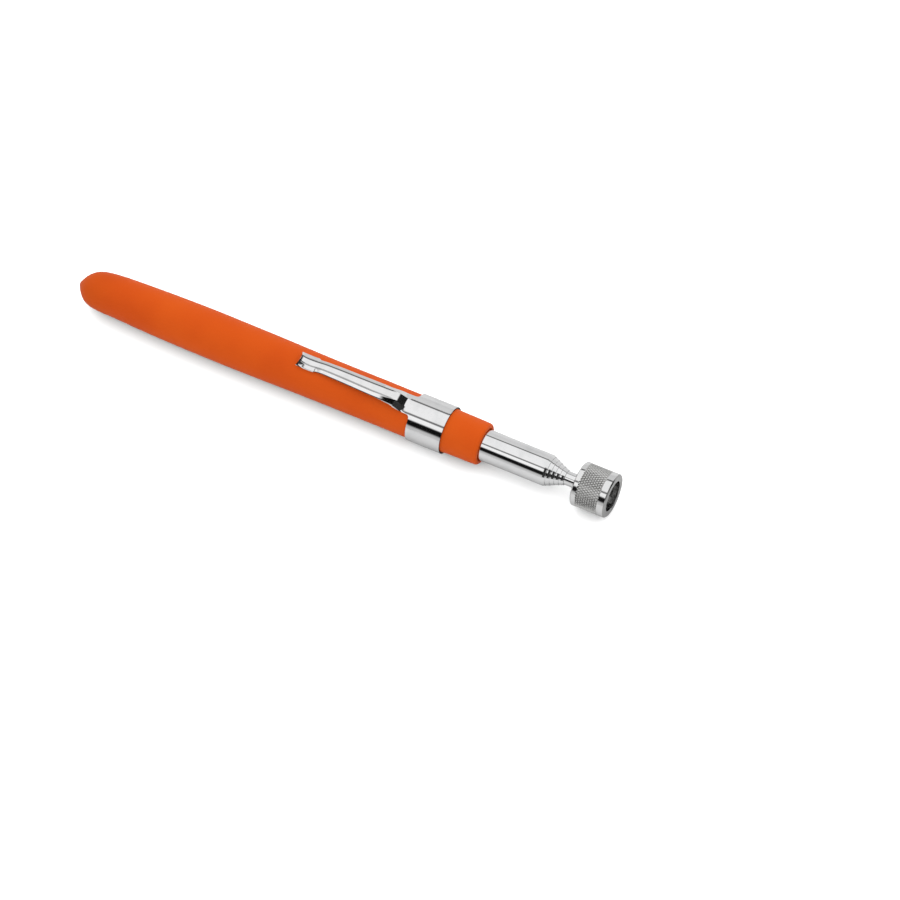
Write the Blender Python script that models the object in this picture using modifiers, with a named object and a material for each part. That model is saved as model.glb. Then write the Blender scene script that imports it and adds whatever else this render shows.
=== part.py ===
"""Telescoping magnetic pick-up tool with a vinyl sleeve grip and a pocket clip.

World units are metres, +Z up.  +X runs along the tool towards the magnet, +Z
points to the clip, and the origin is the centre of the magnet's working face.
Sizes below are in millimetres.  A station is a place along the tool: the closed
end of the grip is at 2.27 and the magnet's face at 166.3.  "Front" is the
magnet end, "rear" the grip end.
"""
import math

import bmesh
import bpy
from mathutils import Vector

MM = 0.001
MAGNET_FACE = 166.3         # station of the world origin

# Facets around the axis
FINE = 48                   # outer turned parts
INNER = 32                  # nested sections and parts in the head
HEAD_FACETS = 80
ARC_STEPS = 4               # segments in a rounded edge

# Outer tube
TUBE_R = 4.5
TUBE_WALL = 0.40
TUBE_BORE_R = TUBE_R - TUBE_WALL
TUBE_MOUTH = 149.05
TUBE_TAIL = 9.1

# Nested sections: four tubes and the rod, each one step thinner
RADIUS_STEP = 0.5
STAGE_WALL = 0.35
STAGE_MOUTHS = (150.2, 151.32, 152.52, 153.8)
STAGE_R = [TUBE_R - RADIUS_STEP * (i + 1) for i in range(len(STAGE_MOUTHS))]
ROD_R = STAGE_R[-1] - RADIUS_STEP
ROD_FRONT = 159.2
STAGE_STEP = 6.0            # each section seats this far ahead of the one outside

# Rolled mouths
MOUTH_GAP = 0.05            # radial clearance to the next section
LIP_LEN = 0.55
LIP_FLAT = 0.13             # radial width of the flat front edge
LIP_TAPER = 0.15            # length over which the bore closes in
LIP_SETBACK = 0.02          # the bore's edge lies this far behind the front

# Swaged grooves and friction shims
GROOVE_DEPTH = 0.25
GROOVE_LEN = 4.8
FLARE_LEN = 0.8
FLARE_STEP = 0.12           # length of the step from flare to groove
SHOULDER = 0.30
SHIM_LEN = 4.55
SHIM_SETBACK = 0.1          # from the groove's rear end
SHIM_GAP = 0.02
SHIM_SLOT = 0.30            # gap between the two half shells of a pair
SHIM_TAPER_LEN = 0.3
SHIM_TAPER = 0.12

# Plug in the rear of the outer tube
PLUG_FRONT = 14.6
PLUG_R = TUBE_BORE_R - 0.02
PLUG_CHAMFER = 0.4
PLUG_HEAD_R = TUBE_R - 0.05
PLUG_HEAD_LEN = 0.75        # measured from the tube's rear end
PLUG_HEAD_GAP = 0.03
FIRST_STAGE_TAIL = PLUG_FRONT + 0.25

# Looks
VINYL = dict(kind="vinyl", colour=(0.76, 0.10, 0.012), metallic=0.0, roughness=0.45)
CHROME = dict(kind="chrome", colour=(0.80, 0.80, 0.81), metallic=1.0, roughness=0.08)
NICKEL = dict(kind="nickel", colour=(0.66, 0.66, 0.64), metallic=1.0, roughness=0.15)
BRONZE = dict(kind="bronze", colour=(0.62, 0.36, 0.16), metallic=1.0, roughness=0.35)
STEEL = dict(kind="steel", colour=(0.52, 0.53, 0.54), metallic=1.0, roughness=0.30)
NYLON = dict(kind="nylon", colour=(0.12, 0.12, 0.125), metallic=0.0, roughness=0.50)

SMOOTH_ANGLE = math.radians(24.0)

for old in list(bpy.data.objects):
    bpy.data.objects.remove(old, do_unlink=True)


# ---------------------------------------------------------------- helpers
def new_collection(name):
    group = bpy.data.collections.new(name)
    bpy.context.scene.collection.children.link(group)
    return group


PARTS = new_collection("telescoping_magnetic_pickup")
CUTTERS = new_collection("cutters")


def world_x(station):
    """World X in metres of a station in millimetres."""
    return (station - MAGNET_FACE) * MM


def new_material(part_name, kind, colour, metallic, roughness):
    mat = bpy.data.materials.new(part_name + "_" + kind)
    mat.use_nodes = True
    shader = mat.node_tree.nodes["Principled BSDF"]
    shader.inputs["Base Color"].default_value = (*colour, 1.0)
    shader.inputs["Metallic"].default_value = metallic
    shader.inputs["Roughness"].default_value = roughness
    mat.diffuse_color = (*colour, 1.0)
    return mat


def add_object(name, bm, look=None):
    """Object from a bmesh, which is freed.  Without a look it is a hidden cutter."""
    mesh = bpy.data.meshes.new(name)
    bm.to_mesh(mesh)
    bm.free()
    obj = bpy.data.objects.new(name, mesh)
    if look:
        PARTS.objects.link(obj)
        mesh.materials.append(new_material(name, **look))
    else:
        CUTTERS.objects.link(obj)
        obj.hide_render = True
        obj.display_type = "WIRE"
    return obj


def lathe(name, profile, look, facets, closed=False):
    """Turned solid about the tool's axis from (station, radius) points.

    An open profile starts and ends on the axis; a closed one makes a ring.
    """
    bm = bmesh.new()
    verts = [bm.verts.new((radius * MM, 0.0, world_x(station))) for station, radius in profile]
    for start, end in zip(verts, verts[1:]):
        bm.edges.new((start, end))
    if closed:
        bm.edges.new((verts[-1], verts[0]))
    obj = add_object(name, bm, look)
    # local Z lies along world X, local X points down
    obj.rotation_euler = (0.0, math.radians(90.0), 0.0)
    screw = obj.modifiers.new("turn", "SCREW")
    screw.axis = "Z"
    screw.steps = facets
    screw.render_steps = facets
    screw.angle = math.radians(360.0)
    screw.use_merge_vertices = True
    screw.merge_threshold = 0.01 * MM
    screw.use_smooth_shade = True
    return obj


def subtract(target, cutter, name):
    boolean = target.modifiers.new(name, "BOOLEAN")
    boolean.operation = "DIFFERENCE"
    boolean.solver = "EXACT"
    boolean.object = cutter


def rounded_edge(station0, radius0, station1, radius1):
    """Quarter ellipse that leaves along the radius and arrives along the axis."""
    points = []
    for i in range(ARC_STEPS + 1):
        angle = math.radians(90.0) * i / ARC_STEPS
        points.append((station0 + (station1 - station0) * (1.0 - math.cos(angle)),
                       radius0 + (radius1 - radius0) * math.sin(angle)))
    return points


# ---------------------------------------------------------------- grip sleeve
SLEEVE_FRONT = 129.2
SLEEVE_FLOOR = 8.2          # bottom of the grip's bore
SLEEVE_BORE_R = TUBE_R + 0.02
SLEEVE_FRONT_R = 6.06
SLEEVE_EDGE = 0.8           # rounding of the open end
SLEEVE_MOUTH_R = 4.85       # the bore flares to this at the open end
SLEEVE_MOUTH_LEN = 0.6
NOSE_TIP = 2.27
SLEEVE_KEYS = (             # (station, outside radius) of the gently swollen grip
    (126.03, 6.138), (121.84, 6.173), (119.45, 6.269), (112.89, 6.32), (105.95, 6.302),
    (96.06, 6.339), (84.25, 6.364), (72.5, 6.467), (60.8, 6.609), (43.35, 6.683),
    (31.79, 6.551), (23.15, 6.325), (16.84, 6.065), (11.39, 5.815), (8.15, 5.394),
    (6.25, 4.733), (5.11, 3.975), (4.35, 3.277), (3.68, 2.472), (3.11, 1.667),
    (2.64, 0.892), (2.37, 0.368),
)


def build_sleeve():
    """Blind cup: up the bore from its floor, then back along the outside."""
    bore = [(SLEEVE_FLOOR, 0.0), (SLEEVE_FLOOR, SLEEVE_BORE_R),
            (SLEEVE_FRONT - SLEEVE_MOUTH_LEN, SLEEVE_BORE_R), (SLEEVE_FRONT, SLEEVE_MOUTH_R)]
    edge = rounded_edge(SLEEVE_FRONT, SLEEVE_FRONT_R - SLEEVE_EDGE,
                        SLEEVE_FRONT - SLEEVE_EDGE, SLEEVE_FRONT_R)
    lathe("grip_sleeve", bore + edge + list(SLEEVE_KEYS) + [(NOSE_TIP, 0.0)], VINYL, FINE)


# ---------------------------------------------------------------- tubes
def rolled_mouth(mouth, radius, wall, next_radius):
    """Outside and inside points of a mouth rolled inwards on the next section."""
    opening = next_radius + MOUTH_GAP
    lip_rear = mouth - LIP_LEN
    outside = rounded_edge(mouth, opening + LIP_FLAT, lip_rear, radius)
    inside = [(lip_rear, radius - wall), (lip_rear + LIP_TAPER, opening),
              (mouth - LIP_SETBACK, opening)]
    return outside, inside


def section_tail(tail, radius):
    """Outside and inside points of the swaged groove and the flare behind it."""
    groove_rear = tail + FLARE_LEN
    groove_front = groove_rear + GROOVE_LEN
    flare_front = groove_rear - FLARE_STEP
    groove_r = radius - GROOVE_DEPTH
    outside = [(groove_front + SHOULDER, radius), (groove_front, groove_r),
               (groove_rear, groove_r), (flare_front, radius), (tail, radius)]
    inside = [(station, r - STAGE_WALL) for station, r in reversed(outside)]
    return outside, inside


def build_outer_tube():
    mouth_out, mouth_in = rolled_mouth(TUBE_MOUTH, TUBE_R, TUBE_WALL, STAGE_R[0])
    profile = mouth_out + [(TUBE_TAIL, TUBE_R), (TUBE_TAIL, TUBE_BORE_R)] + mouth_in
    lathe("body_tube", profile, CHROME, FINE, closed=True)


def build_rear_plug():
    head_front = TUBE_TAIL - PLUG_HEAD_GAP
    head_rear = TUBE_TAIL - PLUG_HEAD_LEN
    lathe("rear_plug",
          [(PLUG_FRONT, 0.0), (PLUG_FRONT, PLUG_R - PLUG_CHAMFER),
           (PLUG_FRONT - PLUG_CHAMFER, PLUG_R), (head_front, PLUG_R),
           (head_front, PLUG_HEAD_R), (head_rear, PLUG_HEAD_R), (head_rear, 0.0)],
          NYLON, FINE)


def box_cutter(name, centre, size):
    """Box with its centre and size in world metres."""
    bm = bmesh.new()
    bmesh.ops.create_cube(bm, size=1.0)
    for vert in bm.verts:
        vert.co = Vector(c + v * s for c, v, s in zip(centre, vert.co, size))
    return add_object(name, bm)


def build_shim_pair(base, tail, radius, bore):
    """Upper (a) and lower (b) half shells in the groove, against the bore outside."""
    rear = tail + FLARE_LEN + SHIM_SETBACK
    front = rear + SHIM_LEN
    r_in = radius - GROOVE_DEPTH + SHIM_GAP
    r_out = bore - SHIM_GAP
    profile = [(front, r_out - SHIM_TAPER), (front - SHIM_TAPER_LEN, r_out),
               (rear + SHIM_TAPER_LEN, r_out), (rear, r_out - SHIM_TAPER),
               (rear, r_in), (front, r_in)]
    # each box takes away one half and its half of the slot
    size = Vector((SHIM_LEN + 2.0, 14.0, 6.0)) * MM
    offset = size.z / 2.0 - SHIM_SLOT / 2.0 * MM
    for letter, side in (("a", 1.0), ("b", -1.0)):
        shim = lathe(base + "_shim_" + letter, profile, BRONZE, INNER, closed=True)
        centre = (world_x(rear + SHIM_LEN / 2.0), 0.0, -side * offset)
        subtract(shim, box_cutter(base + "_split_" + letter, centre, size), "split")


def build_sections():
    """Four nested tubes and the rod, each with its pair of shims."""
    bore = TUBE_BORE_R
    tail = FIRST_STAGE_TAIL
    next_radii = STAGE_R[1:] + [ROD_R]
    for i, (mouth, radius, next_radius) in enumerate(zip(STAGE_MOUTHS, STAGE_R, next_radii)):
        name = "stage_%d" % (i + 1)
        mouth_out, mouth_in = rolled_mouth(mouth, radius, STAGE_WALL, next_radius)
        tail_out, tail_in = section_tail(tail, radius)
        lathe(name + "_tube", mouth_out + tail_out + tail_in + mouth_in,
              CHROME, INNER, closed=True)
        build_shim_pair(name, tail, radius, bore)
        bore = radius - STAGE_WALL
        tail += STAGE_STEP

    tail_out, tail_in = section_tail(tail, ROD_R)
    profile = [(ROD_FRONT, ROD_R)] + tail_out + tail_in + [(ROD_FRONT, ROD_R - STAGE_WALL)]
    lathe("rod_tube", profile, CHROME, INNER, closed=True)
    build_shim_pair("rod", tail, ROD_R, bore)


# ---------------------------------------------------------------- clip
BAND_REAR = 108.0
BAND_FRONT = 118.4
BAND_IN_R = 6.35
BAND_OUT_R = 6.86
BAND_EDGE = 0.12            # chamfer

SHEET = 0.45                # thickness of the arm's sheet
MID_DROP = 0.42             # share of the edge drop midway between flat and edge
ARM_ROOT = BAND_REAR - 0.08
ARM_ORIGIN = Vector((world_x(ARM_ROOT - 0.07), 0.0, 6.60 * MM))
# station, height of the upper face, full width, width of the flat, drop of the edges
ARM_KEYS = (
    (ARM_ROOT, 6.84, 6.04, 2.38, 0.67),
    (107, 6.84, 6.02, 2.38, 0.68),
    (106.2, 6.86, 5.98, 2.38, 0.70),
    (105.75, 6.95, 5.95, 2.37, 0.80),
    (105.3, 7.26, 5.90, 2.35, 1.05),
    (104.6, 7.80, 5.82, 2.30, 1.40),
    (103.9, 8.34, 5.70, 2.30, 1.64),
    (103.3, 8.71, 5.55, 2.30, 1.66),
    (102.8, 8.85, 5.42, 2.30, 1.56),
    (101.8, 8.89, 5.18, 2.28, 1.34),
    (100.21, 8.86, 4.94, 2.27, 1.09),
    (98.04, 8.81, 4.79, 2.22, 0.79),
    (95.57, 8.69, 4.69, 2.17, 0.63),
    (89.66, 8.33, 4.44, 1.97, 0.59),
    (83.76, 7.93, 4.19, 1.82, 0.57),
    (80.23, 7.62, 3.99, 1.72, 0.53),
    (78.57, 7.38, 3.99, 1.72, 0.49),
    (78.08, 7.30, 4.08, 1.72, 0.47),
    (77.68, 7.23, 4.53, 1.77, 0.45),
    (76.61, 7.11, 4.57, 1.82, 0.43),
    (75.34, 7.14, 4.57, 1.77, 0.46),
    (74.36, 7.35, 4.57, 1.72, 0.65),
    (73.58, 7.73, 4.52, 1.67, 0.98),
    (73.09, 8.08, 4.47, 1.62, 1.31),
)


def build_clip_band():
    lathe("clip_band",
          [(BAND_FRONT, BAND_IN_R + BAND_EDGE), (BAND_FRONT, BAND_OUT_R - BAND_EDGE),
           (BAND_FRONT - BAND_EDGE, BAND_OUT_R), (BAND_REAR + BAND_EDGE, BAND_OUT_R),
           (BAND_REAR, BAND_OUT_R - BAND_EDGE),
           (BAND_REAR, BAND_IN_R), (BAND_FRONT - BAND_EDGE, BAND_IN_R)],
          CHROME, FINE, closed=True)


def arm_normal(index):
    """Upward unit normal (along, up) of the arm's centre line at a key."""
    before = ARM_KEYS[max(index - 1, 0)]
    after = ARM_KEYS[min(index + 1, len(ARM_KEYS) - 1)]
    return Vector((after[1] - before[1], before[0] - after[0])).normalized()


def build_clip_arm():
    """Sheet with a flat crown and edges that drop to both sides."""
    bm = bmesh.new()
    rows = []
    for i, (station, height, width, flat, edge_drop) in enumerate(ARM_KEYS):
        normal = arm_normal(i)
        middle = (width + flat) / 4
        mid_drop = edge_drop * MID_DROP
        row = []
        for y, drop in ((-width / 2, edge_drop), (-middle, mid_drop), (-flat / 2, 0.0),
                        (0.0, 0.0),
                        (flat / 2, 0.0), (middle, mid_drop), (width / 2, edge_drop)):
            point = Vector((world_x(station - normal.x * drop), y * MM,
                            (height - normal.y * drop) * MM))
            row.append(bm.verts.new(point - ARM_ORIGIN))
        rows.append(row)
    for row, after in zip(rows, rows[1:]):
        for j in range(len(row) - 1):
            bm.faces.new((row[j], row[j + 1], after[j + 1], after[j]))
    # normals must point up, so that the thickness goes below the upper face
    bmesh.ops.recalc_face_normals(bm, faces=bm.faces)
    if sum(face.normal.z for face in bm.faces) < 0.0:
        bmesh.ops.reverse_faces(bm, faces=bm.faces)
    arm = add_object("clip_arm", bm, CHROME)
    arm.location = ARM_ORIGIN
    sheet = arm.modifiers.new("sheet", "SOLIDIFY")
    sheet.thickness = SHEET * MM
    sheet.offset = -1.0
    sheet.use_even_offset = False


# ---------------------------------------------------------------- magnet head
HEAD_REAR = 157.82
HEAD_FRONT = 168.08
HEAD_R = 6.35
REAR_R = 5.95
REAR_CHAMFER = 0.35         # axial length
RIM_R = 6.0
FRONT_CHAMFER = 0.34        # axial length

KNURL_REAR = 159.4
KNURL_FRONT = 165.9
KNURL_ROWS = 7
KNURL_DEPTH = 0.14          # of the rings at both ends
KNURL_PIT = KNURL_DEPTH * 1.6
KNURL_RAMP = 0.12           # axial length from plain band to end ring

MAGNET_LEN = 3.2
MAGNET_CHAMFER = 0.2
PLATE_LEN = 1.0
PLATE_REAR = MAGNET_FACE - MAGNET_LEN - PLATE_LEN - 0.04
RECESS_R = 4.35
RECESS_CHAMFER = 0.12
RECESS_FLOOR = PLATE_REAR - 0.02
MAGNET_R = RECESS_R - 0.02

STUD_R = 1.6
STUD_TAIL = 150.5
STUD_CHAMFER = 0.3
STUD_HEAD_R = 3.0
STUD_HEAD_CHAMFER = 0.15
STUD_HEAD_FRONT = PLATE_REAR - 0.08
STUD_HEAD_REAR = STUD_HEAD_FRONT - 0.7

POCKET_R = STUD_HEAD_R + 0.05
POCKET_FLOOR = STUD_HEAD_REAR - 0.04
STUD_HOLE_R = STUD_R + 0.03
SOCKET_R = ROD_R + 0.03
SOCKET_FLOOR = ROD_FRONT + 0.05
OVERCUT = 1.0               # the cutter passes both ends of the head by this


def head_rings():
    """(station, radius, phase) from rear to front; phase is None on plain rings."""
    rings = [(HEAD_REAR, REAR_R, None), (HEAD_REAR + REAR_CHAMFER, HEAD_R, None),
             (KNURL_REAR - KNURL_RAMP, HEAD_R, None),
             (KNURL_REAR, HEAD_R - KNURL_DEPTH, None)]
    pitch = (KNURL_FRONT - KNURL_REAR) / KNURL_ROWS
    for i in range(KNURL_ROWS):
        rings.append((KNURL_REAR + pitch * (i + 0.5), HEAD_R, i % 2))
    rings += [(KNURL_FRONT, HEAD_R - KNURL_DEPTH, None),
              (KNURL_FRONT + KNURL_RAMP, HEAD_R, None),
              (HEAD_FRONT - FRONT_CHAMFER, HEAD_R, None), (HEAD_FRONT, RIM_R, None)]
    return rings


def build_head_solid():
    """Knurled cylinder with plain bands at both ends."""
    bm = bmesh.new()
    rings = []
    for station, ring_radius, phase in head_rings():
        ring = []
        for k in range(HEAD_FACETS):
            radius = ring_radius
            if phase is not None and (k + phase) % 2 == 0:
                radius -= KNURL_PIT
            angle = 2.0 * math.pi * k / HEAD_FACETS
            ring.append(bm.verts.new((world_x(station), radius * MM * math.sin(angle),
                                      radius * MM * math.cos(angle))))
        rings.append(ring)
    for ring, ahead in zip(rings, rings[1:]):
        for k in range(HEAD_FACETS):
            n = (k + 1) % HEAD_FACETS
            bm.faces.new((ring[k], ring[n], ahead[n], ahead[k]))
    bm.faces.new(list(reversed(rings[0])))
    bm.faces.new(rings[-1])
    bmesh.ops.recalc_face_normals(bm, faces=bm.faces)
    return add_object("head_shell", bm, CHROME)


def build_head():
    """Head bored for the magnet and plate, the stud's head, the stud and the rod."""
    head = build_head_solid()
    mouth_r = RECESS_R + RECESS_CHAMFER
    front = HEAD_FRONT + OVERCUT
    rear = HEAD_REAR - OVERCUT
    cutter = lathe(
        "head_bore",
        [(front, 0.0), (front, mouth_r), (HEAD_FRONT, mouth_r),
         (HEAD_FRONT - RECESS_CHAMFER, RECESS_R), (RECESS_FLOOR, RECESS_R),
         (RECESS_FLOOR, POCKET_R), (POCKET_FLOOR, POCKET_R),
         (POCKET_FLOOR, STUD_HOLE_R), (SOCKET_FLOOR, STUD_HOLE_R),
         (SOCKET_FLOOR, SOCKET_R), (rear, SOCKET_R), (rear, 0.0)],
        None, INNER)
    subtract(head, cutter, "bore")


def build_magnet():
    rear = MAGNET_FACE - MAGNET_LEN
    lathe("magnet",
          [(MAGNET_FACE, 0.0), (MAGNET_FACE, MAGNET_R - MAGNET_CHAMFER),
           (MAGNET_FACE - MAGNET_CHAMFER, MAGNET_R), (rear, MAGNET_R), (rear, 0.0)],
          NICKEL, INNER)


def build_back_plate():
    front = PLATE_REAR + PLATE_LEN
    lathe("back_plate",
          [(front, 0.0), (front, MAGNET_R), (PLATE_REAR, MAGNET_R), (PLATE_REAR, 0.0)],
          STEEL, INNER)


def build_stud():
    lathe("head_stud",
          [(STUD_HEAD_FRONT, 0.0), (STUD_HEAD_FRONT, STUD_HEAD_R - STUD_HEAD_CHAMFER),
           (STUD_HEAD_FRONT - STUD_HEAD_CHAMFER, STUD_HEAD_R),
           (STUD_HEAD_REAR, STUD_HEAD_R), (STUD_HEAD_REAR, STUD_R),
           (STUD_TAIL + STUD_CHAMFER, STUD_R), (STUD_TAIL, STUD_R - STUD_CHAMFER),
           (STUD_TAIL, 0.0)],
          STEEL, INNER)


# ---------------------------------------------------------------- finish
NOSE_DROOP = 0.49           # the soft closed end of the grip hangs off the axis
NOSE_REACH = 12.7           # length over which the droop fades out
DROOP_Y = -0.92             # share of the droop along world Y
DROOP_Z = -0.39             # share of the droop along world Z


def droop_nose(mesh):
    """Shift the outside of the grip's closed end and leave the bore straight."""
    for vert in mesh.vertices:
        station = vert.co.z / MM + MAGNET_FACE
        radius = math.hypot(vert.co.x, vert.co.y) / MM
        on_outside = station < SLEEVE_FLOOR - 0.01 or radius > SLEEVE_BORE_R + 0.1
        if on_outside and station - NOSE_TIP < NOSE_REACH:
            droop = NOSE_DROOP * (1.0 - (station - NOSE_TIP) / NOSE_REACH) * MM
            vert.co.y += DROOP_Y * droop
            vert.co.x -= DROOP_Z * droop    # local X points down


def bake(obj):
    """Replace the object's mesh and modifiers by the evaluated mesh."""
    graph = bpy.context.evaluated_depsgraph_get()
    mesh = bpy.data.meshes.new_from_object(obj.evaluated_get(graph))
    mesh.name = obj.name
    obj.modifiers.clear()
    obj.data = mesh


build_sleeve()
build_outer_tube()
build_rear_plug()
build_sections()
build_clip_band()
build_clip_arm()
build_head()
build_magnet()
build_back_plate()
build_stud()

for part in PARTS.objects:
    bake(part)
    if part.name == "grip_sleeve":
        droop_nose(part.data)
    part.data.shade_smooth()
    part.data.set_sharp_from_angle(angle=SMOOTH_ANGLE)
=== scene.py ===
"""Telescopic magnetic pick-up tool: vinyl grip, pocket clip, five drawn sections and a magnet head.

The tool's axis is world X, with the grip towards -X, the magnet head towards +X and the clip on
the +Z side. Lengths are in millimetres and are turned into metres as the points are made.
"""
import math

import bmesh
import bpy
import numpy as np
from mathutils import Matrix, Vector


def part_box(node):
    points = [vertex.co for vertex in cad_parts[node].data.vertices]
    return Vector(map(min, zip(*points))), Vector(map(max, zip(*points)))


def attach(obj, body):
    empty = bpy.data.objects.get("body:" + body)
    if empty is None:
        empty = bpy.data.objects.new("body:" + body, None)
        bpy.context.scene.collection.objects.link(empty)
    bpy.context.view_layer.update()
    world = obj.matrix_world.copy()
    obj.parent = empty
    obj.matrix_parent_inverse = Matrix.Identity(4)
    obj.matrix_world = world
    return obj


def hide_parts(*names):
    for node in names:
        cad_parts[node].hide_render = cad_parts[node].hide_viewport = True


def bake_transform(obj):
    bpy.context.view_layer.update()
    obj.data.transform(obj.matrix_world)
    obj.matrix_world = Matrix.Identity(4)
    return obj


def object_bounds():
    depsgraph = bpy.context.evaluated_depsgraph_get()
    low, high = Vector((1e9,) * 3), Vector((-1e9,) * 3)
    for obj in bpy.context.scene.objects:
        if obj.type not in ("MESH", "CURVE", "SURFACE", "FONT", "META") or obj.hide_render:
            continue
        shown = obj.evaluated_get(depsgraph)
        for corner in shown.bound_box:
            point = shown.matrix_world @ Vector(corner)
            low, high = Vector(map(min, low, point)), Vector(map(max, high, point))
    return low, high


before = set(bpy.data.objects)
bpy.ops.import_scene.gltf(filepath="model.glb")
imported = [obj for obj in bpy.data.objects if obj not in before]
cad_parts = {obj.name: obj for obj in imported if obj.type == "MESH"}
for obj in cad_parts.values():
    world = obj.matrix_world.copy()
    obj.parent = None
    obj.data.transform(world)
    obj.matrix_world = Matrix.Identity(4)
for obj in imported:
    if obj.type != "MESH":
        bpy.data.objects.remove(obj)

MM = 0.001
DATUM = 166.3            # station of the world origin; stations count mm towards the head
CAD_BOX = [list(map(float, corner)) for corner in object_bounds()]
FLOOR_Z = CAD_BOX[0][2]

# ------------------------------------------------------------------ geometry helpers


def world_x(station):
    return (station - DATUM) * MM


def station_of(x):
    return x / MM + DATUM


def stations_of(node):
    """Rear and front stations of a CAD piece."""
    return [station_of(corner.x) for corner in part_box(node)]


def clamp(value):
    return min(max(value, 0.0), 1.0)


def shade(mesh, sharp):
    """Smooth shading, with edges steeper than sharp degrees kept crisp."""
    mesh.shade_smooth()
    mesh.set_sharp_from_angle(angle=math.radians(sharp))


def new_object(name, verts, faces, material, sharp=32.0):
    mesh = bpy.data.meshes.new(name)
    mesh.from_pydata(verts, [], faces)
    mesh.update()
    obj = bpy.data.objects.new(name, mesh)
    bpy.context.scene.collection.objects.link(obj)
    mesh.materials.append(material)
    shade(mesh, sharp)
    return obj


def face_out(obj, sharp):
    """Turns the faces of a closed solid outwards."""
    bm = bmesh.new()
    bm.from_mesh(obj.data)
    bmesh.ops.recalc_face_normals(bm, faces=bm.faces)
    if bm.calc_volume(signed=True) < 0.0:
        bmesh.ops.reverse_faces(bm, faces=bm.faces)
    bm.to_mesh(obj.data)
    bm.free()
    shade(obj.data, sharp)


def catmull_rom(keys, step):
    """Smooth curve through rows of keys, one row about every step mm of the first two columns."""
    keys = np.array(keys, float)
    last = len(keys) - 1
    rows = []
    for i in range(last):
        before, start = keys[max(i - 1, 0)], keys[i]
        end, after = keys[i + 1], keys[min(i + 2, last)]
        count = max(2, int(math.ceil(np.linalg.norm((end - start)[:2]) / step)))
        for k in range(count):
            t = k / count
            rows.append(0.5 * (2 * start + (end - before) * t
                               + (2 * before - 5 * start + 4 * end - after) * t * t
                               + (3 * start - before - 3 * end + after) * t ** 3))
    rows.append(keys[last])
    return np.array(rows)


def rounded(corners, steps=5):
    """(station, radius[, fillet]) corners to a polyline with curves at the fillets."""
    points = []
    for i, corner in enumerate(corners):
        place = np.array(corner[:2], float)
        fillet = corner[2] if len(corner) > 2 else 0.0
        if fillet <= 0.0 or i in (0, len(corners) - 1):
            points.append(tuple(place))
            continue
        back = np.array(corners[i - 1][:2], float) - place
        onward = np.array(corners[i + 1][:2], float) - place
        back_length, onward_length = np.linalg.norm(back), np.linalg.norm(onward)
        back, onward = back / back_length, onward / onward_length
        half_angle = math.acos(float(np.clip(back @ onward, -1.0, 1.0))) / 2.0
        reach = min(fillet / math.tan(half_angle), back_length * 0.49, onward_length * 0.49)
        start, end = place + back * reach, place + onward * reach
        for k in range(steps + 1):
            t = k / steps
            points.append(tuple((1 - t) ** 2 * start + 2 * t * (1 - t) * place + t * t * end))
    return points


def on_circle(station, radius, angle):
    """Point at an angle round the axis, counted from +Z towards +Y."""
    return (world_x(station), radius * MM * math.sin(angle), radius * MM * math.cos(angle))


def bridge(ring_a, ring_b):
    """Faces between two closed rings; a ring of one point is a pole."""
    count = max(len(ring_a), len(ring_b))
    faces = []
    for k in range(count):
        n = (k + 1) % count
        if len(ring_a) == 1:
            faces.append((ring_a[0], ring_b[n], ring_b[k]))
        elif len(ring_b) == 1:
            faces.append((ring_a[k], ring_a[n], ring_b[0]))
        else:
            faces.append((ring_a[k], ring_a[n], ring_b[n], ring_b[k]))
    return faces


def turned(name, outline, material, segments, sharp, closed=True):
    """Revolves (station, radius) points about the axis. Points on the axis become poles."""
    verts, faces, rings = [], [], []
    for station, radius in outline:
        count = 1 if radius < 1e-6 else segments
        rings.append(range(len(verts), len(verts) + count))
        if count == 1:
            verts.append((world_x(station), 0.0, 0.0))
        else:
            verts += [on_circle(station, radius, 2.0 * math.pi * k / segments)
                      for k in range(segments)]
    pairs = list(zip(rings, rings[1:]))
    if closed:
        pairs.append((rings[-1], rings[0]))
    for ring_a, ring_b in pairs:
        faces += bridge(ring_a, ring_b)
    obj = new_object(name, verts, faces, material, sharp)
    face_out(obj, sharp)
    return obj


def register(obj, node, body):
    """Hides the CAD piece that a mesh replaces and hangs the mesh on the body it rides."""
    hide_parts(node)
    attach(obj, body)


# ------------------------------------------------------------------ shader helpers


def rgba(colour):
    """Opaque colour from a grey level or an RGB triple."""
    return (*colour, 1.0) if isinstance(colour, tuple) else (colour, colour, colour, 1.0)


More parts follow.
